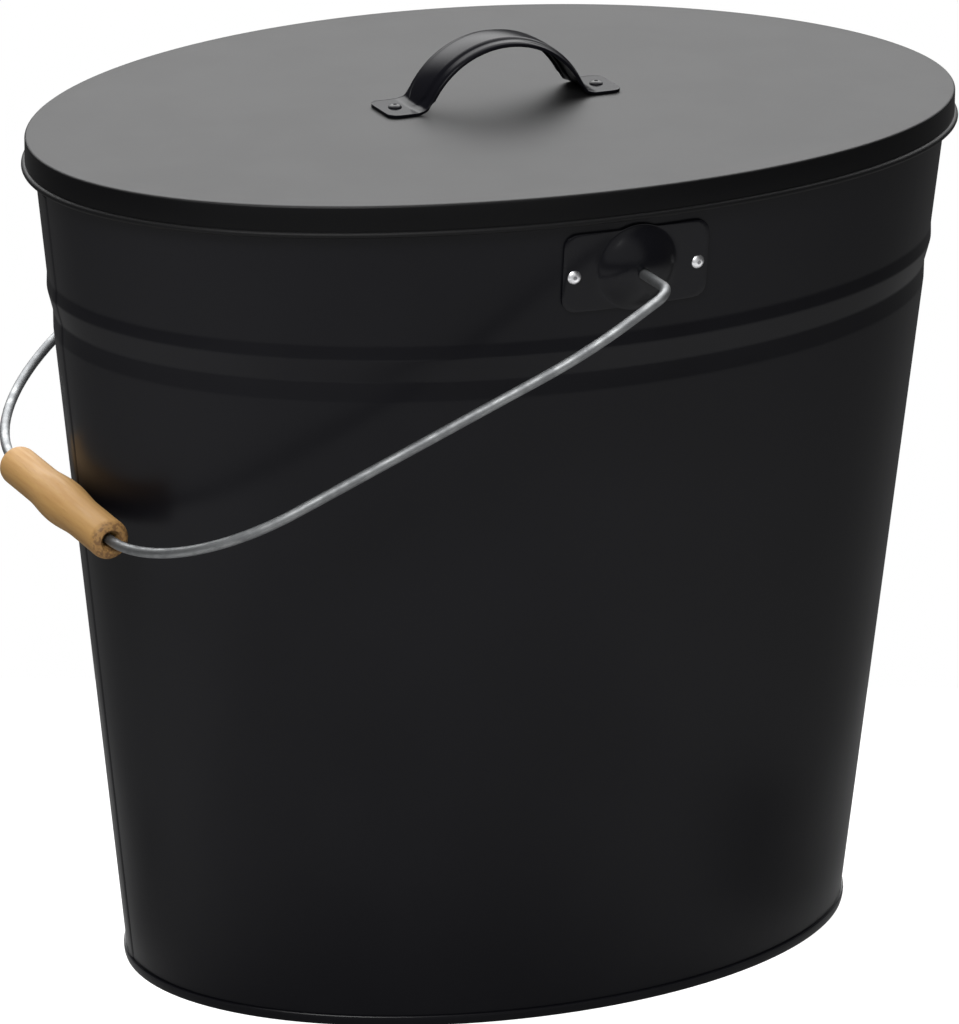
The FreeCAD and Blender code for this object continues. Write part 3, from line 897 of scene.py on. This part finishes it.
    def build_ear(self, side: Side) -> None:
        """Presses a flat ringed blank into an ear that follows the wall.

        Args:
            side: Front or back.
        """
        hole = self.pivot_radius / self.dome_radius
        step = (1.0 - hole) / (self.dome_rings - 1)
        dome = [hole + step * ring for ring in range(self.dome_rings)]
        plate = [1.0 + ring / self.plate_rings for ring in range(1, self.plate_rings + 1)]
        rounds = dome + plate
        deselect()
        bpy.ops.mesh.primitive_circle_add(vertices=self.ear_segments, radius=hole)
        ear = bpy.context.object
        ear.name = f"{side.name.lower()}_ear_pressed"
        bpy.ops.object.mode_set(mode="EDIT")
        bpy.ops.mesh.select_all(action="SELECT")
        for before, after in zip(rounds, rounds[1:]):
            bpy.ops.mesh.extrude_edges_move()
            growth = after / before
            bpy.ops.transform.resize(value=(growth, growth, 1.0), center_override=(0.0, 0.0, 0.0))
        bpy.ops.object.mode_set(mode="OBJECT")
        for vertex in ear.data.vertices:
            x, y, _ = vertex.co
            vertex.co = self.ear_point(side, math.hypot(x, y), math.atan2(y, x))
        face_along(ear, Vector((0.0, side.value, 0.0)))
        thicken(ear, self.ear_sheet)
        soften_edges(ear, self.ear_round)
        finish_mesh(ear, smooth_angle=45.0)
        add_piece(ear, BodyName.BUCKET, self.ear_paint, f"{side.name.lower()}_ear")

    def ear_point(self, side: Side, share: float, turn: float) -> Vector:
        """Where a point of the flat blank lies on the pressed ear.

        Args:
            side: Front or back.
            share: 0 at the middle, 1 at the dome's edge, 2 at the plate's edge.
            turn: Direction in radians.

        Returns:
            The point on the ear's outside.
        """
        radius = min(share, 1.0) * self.dome_radius
        radius += max(share - 1.0, 0.0) * (self.ear_edge(turn) - self.dome_radius)
        drop = self.pivot_drop * max(1.0 - radius / self.dome_radius, 0.0)
        x, up = radius * math.cos(turn), radius * math.sin(turn) - drop
        return self.taper.side_point(side, x, self.ear_height + up, self.ear_rise(math.hypot(x, up)))


@dataclass
class Lid:
    """Slightly arched lid with an upright skirt and a curled hem, and its strap handle.

    The strap's section is in shares of its half-width and in depths below its crown.
    """

    taper: Taper
    handle_paint: bpy.types.Material
    inside_out: float = 2.2 * MM
    seat_gap: float = 0.1 * MM
    crown: float = 4.4 * MM
    depth: float = 14 * MM
    edge: float = 1.2 * MM
    hem_height: float = 2.8 * MM
    hem_out: float = 1.59 * MM
    top_inset: float = 6 * MM
    top_ring_spacing: float = 20 * MM
    top_rings: int = 6
    edge_steps: int = 6
    segments: int = 256
    handle_half_width: float = 12.5 * MM
    handle_half_span: float = 41 * MM
    handle_rise: float = 29.5 * MM
    handle_half_length: float = 56 * MM
    handle_drop: float = 0.13 * MM
    handle_strap: float = 1.2 * MM
    handle_corner: float = 5 * MM
    handle_heel: float = 1.6 * MM
    handle_round: float = 0.25 * MM
    strap_crown: float = 0.56
    strap_crown_sink: float = 0.25 * MM
    strap_crown_ease: float = 0.9 * MM
    strap_step: float = 0.66
    strap_step_sink: float = 1.2 * MM
    strap_rim: float = 0.88
    strap_rim_sink: float = 1.45 * MM
    strap_rim_ease: float = 0.5 * MM
    strap_edge_sink: float = 2.2 * MM
    strap_edge_ease: float = 0.8 * MM
    strap_lip_sink: float = 3.4 * MM
    crown_grows_over: float = 8 * MM
    toe_crowding: float = 1.6
    arch_steps: int = 60
    handle_stations: int = 141

    def build(self) -> None:
        """Builds the lid and its handle."""
        self.build_pan()
        self.build_handle()

    @property
    def top(self) -> float:
        """Height of the middle of the lid's upper face."""
        return self.taper.height + self.seat_gap + self.taper.sheet + self.crown

    @property
    def fall(self) -> float:
        """Fall of the arched lid per square metre of X."""
        return self.crown / self.taper.half_axes(self.taper.height, self.inside_out)[0] ** 2

    def build_pan(self) -> None:
        """Extrudes the lid from under its middle, round the skirt and hem, to the middle of its top."""
        sheet, rim = self.taper.sheet, self.taper.height
        bottom, under = self.top - self.depth, self.top - sheet
        outside = self.inside_out + sheet
        hem = [(height, outside + out) for height, out in half_round(bottom, self.hem_height, self.hem_out)]
        edge = quarter_round(self.top, outside, self.edge, self.edge_steps)
        insets = [-self.top_ring_spacing * ring for ring in range(1, self.top_rings + 1)]
        inner = [(under, out) for out in reversed(insets)]
        inner += [(under, self.inside_out), (bottom, self.inside_out)]
        crown = [(self.top, out) for out in (-self.top_inset, *insets)]
        rings = [(*self.taper.half_axes(rim, out), height) for height, out in inner + hem + edge + crown]
        pan = extrude_ovals("lid_sheet", rings, False, self.segments)
        for vertex in pan.data.vertices:
            vertex.co.z -= self.fall * vertex.co.x ** 2
        finish_mesh(pan, smooth_angle=50.0)
        paint = LidPaint(self.top, bottom + self.hem_height, self.fall).make()
        add_piece(pan, BodyName.LID, paint, "lid_pan")

    def handle_line(self) -> list[LinePoint]:
        """Middle line of half the handle from its toe to its top.

        Returns:
            Length along the line, X, height above the feet's seat and slope in radians, of close points.
        """
        radius = (self.handle_half_span ** 2 + self.handle_rise ** 2) / (2 * self.handle_rise)
        centre = self.handle_rise - radius
        foot = self.handle_strap
        corners = [(self.handle_half_length, foot), (self.handle_half_span + self.handle_heel, foot)]
        start = math.asin((foot + self.handle_heel - centre) / radius)
        arc = [start + (math.pi / 2 - start) * step / self.arch_steps for step in range(self.arch_steps + 1)]
        corners += [(radius * math.cos(turn), centre + radius * math.sin(turn)) for turn in arc]
        points, length = [], 0.0
        for before, after in zip(corners, corners[1:]):
            slope = math.atan2(after[1] - before[1], before[0] - after[0])
            points.append((length, *before, slope))
            length += math.dist(before, after)
        points.append((length, *corners[-1], 0.0))
        return points

    def handle_section(self) -> Profile:
        """Half of the strap's section: a crown, a step down to a rim, and a turned-down edge.

        Returns:
            Distance from the middle and depth below the crown, of each point.
        """
        half = self.handle_half_width
        return eased([
            (0.0, 0.0, 0.0),
            (self.strap_crown * half, -self.strap_crown_sink, self.strap_crown_ease),
            (self.strap_step * half, -self.strap_step_sink, self.strap_rim_ease),
            (self.strap_rim * half, -self.strap_rim_sink, self.strap_rim_ease),
            (half, -self.strap_edge_sink, self.strap_edge_ease),
            (half, -self.strap_lip_sink, 0.0),
        ])

    def build_handle(self) -> None:
        """Shapes a flat grid into the strap: rounded feet, a crowned arch and turned-down edges."""
        line, half_section = self.handle_line(), self.handle_section()
        section = [(-across, depth) for across, depth in reversed(half_section[1:])] + half_section
        strap = add_grid("lid_handle_strap", self.handle_stations, len(section))
        for vertex in strap.data.vertices:
            x, y, _ = vertex.co
            across, depth = section[grid_index(y, len(section))]
            vertex.co = self.handle_point(line, x, y * self.handle_half_width, across, depth)
        face_along(strap, Vector((0.0, 0.0, 1.0)))
        thicken(strap, self.handle_strap)
        soften_edges(strap, self.handle_round)
        finish_mesh(strap, smooth_angle=40.0)
        add_piece(strap, BodyName.LID, self.handle_paint, "lid_handle")

    def handle_point(self, line: list[LinePoint], share: float, even: float, across: float,
                     depth: float) -> Vector:
        """Where a point of the flat grid lies on the handle's outside.

        Args:
            line: Half of the handle's middle line.
            share: -1 at the left toe, 0 at the top, 1 at the right toe.
            even: Distance from the strap's middle line on a flat foot.
            across: That distance on the crowned arch.
            depth: Depth below the crown.

        Returns:
            The point.
        """
        along = line[-1][0] * (1.0 - abs(share)) ** self.toe_crowding
        spot = line[-1]
        for before, after in zip(line, line[1:]):
            if before[0] <= along <= after[0]:
                part = (along - before[0]) / (after[0] - before[0])
                spot = tuple(low + part * (high - low) for low, high in zip(before, after))
                break
        _, x, height, slope = spot
        narrow = 1.0
        if along < self.handle_corner:
            cut = self.handle_corner - math.sqrt(self.handle_corner ** 2 - (self.handle_corner - along) ** 2)
            narrow -= cut / self.handle_half_width
        flat = self.handle_half_length - self.handle_half_span - self.handle_heel
        crowned = min(max((along - flat) / self.crown_grows_over, 0.0), 1.0)
        y = (even + (across - even) * crowned) * narrow
        sink = depth * crowned
        base = self.top - self.handle_drop + height
        place = Vector((x + math.sin(slope) * sink, y, base + math.cos(slope) * sink))
        return place * Vector((math.copysign(1.0, share), 1.0, 1.0))


@dataclass
class Grip:
    """Turned wooden grip on the bail."""

    centre: Vector
    wood: bpy.types.Material
    length: float = 112 * MM
    belly: float = 10.3 * MM
    end: float = 8.9 * MM
    straight: float = 31 * MM
    ease: float = 4 * MM
    bore: float = 3.45 * MM
    mouth: float = 4.7 * MM
    mouth_depth: float = 2 * MM
    mouth_round: float = 0.4 * MM
    end_steps: int = 5
    rings: int = 40
    segments: int = 96

    def radius(self, along: float) -> float:
        """Outside radius at a distance from the grip's middle.

        Args:
            along: That distance.

        Returns:
            The radius.
        """
        share = min(abs(along) / (self.length / 2 - self.straight), 1.0)
        return self.end + (self.belly - self.end) * (0.5 + 0.5 * math.cos(math.pi * share))

    def build(self) -> None:
        """Extrudes the grip ring by ring along Z, then lays it along Y on the bail."""
        half = self.length / 2
        corner = quarter_round(half, self.end, self.ease, self.end_steps)
        mouth = [
            (half, self.mouth + self.mouth_round),
            (half - self.mouth_round, self.mouth),
            (half - self.mouth_depth, self.bore),
        ]
        places = [(2 * ring / self.rings - 1) * (half - self.ease) for ring in range(self.rings + 1)]
        outside = [(along, self.radius(along)) for along in places]
        upper = corner[1:] + mouth
        lower = [(-along, radius) for along, radius in reversed(upper)]
        rings = [(radius, radius, along) for along, radius in lower + outside + upper]
        grip = extrude_ovals("grip_turned", rings, True, self.segments)
        grip.matrix_world = Matrix.Translation(self.centre) @ Matrix.Rotation(math.pi / 2, 4, "X")
        finish_mesh(grip, smooth_angle=40.0)
        add_piece(grip, BodyName.GRIP, self.wood, "bail_grip")


@dataclass(frozen=True)
class Lamp:
    """A soft square lamp."""

    name: str
    place: tuple[float, float, float]
    aim: tuple[float, float, float]
    size: float
    power: float

    def hang(self) -> None:
        """Hangs the lamp at its place, facing its aim."""
        data = bpy.data.lights.new(self.name, "AREA")
        data.shape = "SQUARE"
        data.size = self.size
        data.energy = self.power
        lamp = bpy.data.objects.new(self.name, data)
        bpy.context.scene.collection.objects.link(lamp)
        lamp.location = self.place
        facing = Vector(self.aim) - Vector(self.place)
        lamp.rotation_euler = facing.to_track_quat("-Z", "Y").to_euler()


@dataclass
class Studio:
    """White floor, soft lamps, a world that is bright behind and dim in front, and the camera.

    The fades of the floor are in metres from the object, and those of the world are parts of a direction.
    Both run along the camera's right, away from the camera, and up.
    """

    azimuth: float = -25.026
    elevation: float = 19.184
    roll: float = 0.619
    distance: float = 3.300391
    target: tuple[float, float, float] = (0.0, 0.0, 0.2)
    focal_pixels: float = 7400.0
    principal: tuple[float, float] = (491.724, 500.628)
    sensor: float = 36.0
    floor_half_width: float = 0.30
    floor_front: float = 0.75
    floor_back: float = 0.30
    floor_colour: Colour = (0.36, 0.36, 0.36)
    floor_side_colour: Colour = (0.10, 0.10, 0.10)
    floor_lift: float = 0.94
    beside_aside: Span = (0.12, 0.20)
    beside_back: Span = (-0.16, -0.04)
    background_shine: float = 0.08
    world_back: float = 7.6
    world_front: float = 0.7
    world_below: float = 1.15
    world_below_back: float = 0.24
    world_dim: float = 0.05
    window_back: Span = (0.0, 0.3)
    window_aside: Span = (0.7, 0.4)
    window_height: Span = (0.12, 0.55)
    panel_back: Span = (-0.5, -0.85)
    panel_height: Span = (-0.2, -0.08)
    ground_back: Span = (0.6, -0.6)
    ground_height: Span = (-0.26, -0.46)

    def build(self) -> None:
        """Builds the floor, world, lamps and camera."""
        self.build_floor()
        self.build_world()
        Lamp("key_lamp", place=(-1.4, -1.7, 2.3), aim=self.target, size=1.2, power=34.0).hang()
        Lamp("front_lamp", place=(-0.9, -1.0, 1.7), aim=(-0.35, -0.55, 0.0), size=0.7, power=19.0).hang()
        Lamp("top_lamp", place=(-0.2, -0.1, 2.4), aim=self.target, size=1.6, power=10.0).hang()
        self.build_camera()

    def aside_and_back(self, sheet: ShaderSheet, place: Wire) -> tuple[Wire, Wire]:
        """Measures a place or direction from the camera's side.

        Args:
            sheet: The sheet that the place is on.
            place: The place or direction.

        Returns:
            How far it reaches to the camera's right, and away from the camera.
        """
        right, away, _ = Matrix.Rotation(math.radians(self.azimuth), 3, "Z").col
        return sheet.dot(place, right), sheet.dot(place, away)

    def background_seen(self, sheet: ShaderSheet) -> Wire:
        """How white the background reads: fully to the camera, in part to shiny and clear surfaces.

        Args:
            sheet: The floor's or the world's sheet.

        Returns:
            The share of white.
        """
        rays = ("Is Camera Ray", "Is Glossy Ray", "Is Transmission Ray")
        camera, glossy, clear = (sheet.wire("ShaderNodeLightPath", output=ray) for ray in rays)
        return camera.most(self.background_shine * glossy.most(clear))

    def build_floor(self) -> None:
        """Lays a floor that reads white, keeps the shadow and is darker beside the object."""
        deselect()
        turn = math.radians(self.azimuth)
        place = Matrix.Rotation(turn, 3, "Z") @ Vector((0.0, (self.floor_back - self.floor_front) / 2, 0.0))
        bpy.ops.mesh.primitive_plane_add(size=1.0, location=place, rotation=(0.0, 0.0, turn))
        floor = bpy.context.object
        floor.name = "studio_floor"
        floor.scale = (2 * self.floor_half_width, self.floor_front + self.floor_back, 1.0)
        bpy.ops.object.transform_apply(location=True, rotation=True, scale=True)
        material, sheet = new_material("studio_floor_white")
        aside, back = self.aside_and_back(sheet, sheet.place())
        beside = abs(aside).ramp(*self.beside_aside) * back.ramp(*self.beside_back)
        colour = sheet.blend(beside, self.floor_colour, self.floor_side_colour)
        diffuse = sheet.node("ShaderNodeBsdfDiffuse", None, {"Color": colour})
        lift = self.floor_lift * self.background_seen(sheet)
        glow = sheet.node("ShaderNodeEmission", None, {"Strength": lift})
        both = sheet.node("ShaderNodeAddShader", None, {0: diffuse.outputs[0], 1: glow.outputs[0]})
        sheet.node("ShaderNodeOutputMaterial", None, {"Surface": both.outputs[0]})
        floor.data.materials.append(material)

    def build_world(self) -> None:
        """Lights the world from behind the object, dimmer on the camera's side."""
        world = bpy.data.worlds.new("studio_world")
        world.use_nodes = True
        bpy.context.scene.world = world
        sheet = ShaderSheet(world.node_tree)
        direction = sheet.wire("ShaderNodeTexCoord", output="Generated")
        aside, back = self.aside_and_back(sheet, direction)
        height = sheet.wire("ShaderNodeSeparateXYZ", None, {0: direction}, "Z")
        window = back.ramp(*self.window_back) * abs(aside).ramp(*self.window_aside)
        window *= height.ramp(*self.window_height)
        panel = back.ramp(*self.panel_back) * height.ramp(*self.panel_height)
        nearer = self.world_below - self.world_below_back
        ground = self.world_below_back + nearer * back.ramp(*self.ground_back)
        light = self.world_dim + self.world_back * window + self.world_front * panel
        light += ground * height.ramp(*self.ground_height)
        level = light.most(self.background_seen(sheet))
        sky = sheet.node("ShaderNodeBackground", None, {"Color": (1.0, 1.0, 1.0), "Strength": level})
        sheet.node("ShaderNodeOutputWorld", None, {"Surface": sky.outputs[0]})

    def build_camera(self) -> None:
        """Sets the camera at the photograph's viewing angle, for its frame."""
        turn, tilt, roll = (math.radians(angle) for angle in (self.azimuth, self.elevation, self.roll))
        ahead = Vector((-math.sin(turn) * math.cos(tilt), math.cos(turn) * math.cos(tilt), -math.sin(tilt)))
        level = Vector((math.cos(turn), math.sin(turn), 0.0))
        upright = level.cross(ahead)
        right = level * math.cos(roll) + upright * math.sin(roll)
        up = upright * math.cos(roll) - level * math.sin(roll)
        data = bpy.data.cameras.new("photo_camera")
        data.sensor_fit = "VERTICAL"
        data.sensor_height = self.sensor
        data.lens = self.focal_pixels * self.sensor / PHOTO_HEIGHT
        data.shift_x = (PHOTO_WIDTH / 2 - self.principal[0]) / PHOTO_HEIGHT
        data.shift_y = (self.principal[1] - PHOTO_HEIGHT / 2) / PHOTO_HEIGHT
        camera = bpy.data.objects.new("photo_camera", data)
        bpy.context.scene.collection.objects.link(camera)
        facing = Matrix((right, up, -ahead)).transposed().to_4x4()
        camera.matrix_world = Matrix.Translation(Vector(self.target) - ahead * self.distance) @ facing
        bpy.context.scene.camera = camera


def dress_solids(finishes: dict[SlotName, bpy.types.Material]) -> None:
    """Gives every solid the material of its slot in the record.

    Args:
        finishes: The material of each slot.
    """
    slots = {entry["node"]: SlotName(entry["material_slot"]) for entry in frame["record"]["subparts"]}
    for name, solid in frame["nodes"].items():
        solid.data.materials.clear()
        solid.data.materials.append(finishes[slots[name]])
        log.info("%s: %s", name, slots[name].value)


def main() -> None:
    """Builds every piece and the studio."""
    logging.basicConfig(level=logging.INFO, format="%(message)s")
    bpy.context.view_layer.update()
    bpy.context.scene.view_settings.view_transform = "Standard"
    taper = Taper()
    low, high = (Vector(corner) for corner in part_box("bail_grip"))
    grip_centre = (low + high) / 2
    aluminium = FastenerMetal(
        "rivet_aluminium", bright=(0.90, 0.90, 0.91), dull=(0.72, 0.72, 0.74), roughness=0.32)
    steel = FastenerMetal("mandrel_steel", bright=(0.32, 0.32, 0.33), dull=(0.18, 0.18, 0.19), roughness=0.5)
    finishes = {
        SlotName.BLACK_PAINT: BlackPaint("satin_black_paint", roughness=0.31, ior=1.235).make(),
        SlotName.GALVANISED_WIRE: GalvanisedWire().make(),
        SlotName.GRIP_WOOD: GripWood(grip_centre, (high.y - low.y) / 2).make(),
        SlotName.RIVET_ALUMINIUM: aluminium.make(),
        SlotName.MANDREL_STEEL: steel.make(),
    }
    dress_solids(finishes)
    ear_paint = BlackPaint("gloss_black_paint", roughness=0.21, ior=1.25).make()
    handle_paint = BlackPaint("handle_black_paint", roughness=0.18, ior=1.12).make()
    Bucket(taper, finishes[SlotName.BLACK_PAINT], ear_paint).build()
    Lid(taper, handle_paint).build()
    Grip(grip_centre, finishes[SlotName.GRIP_WOOD]).build()
    Studio().build()


if __name__ == "__main__":
    main()
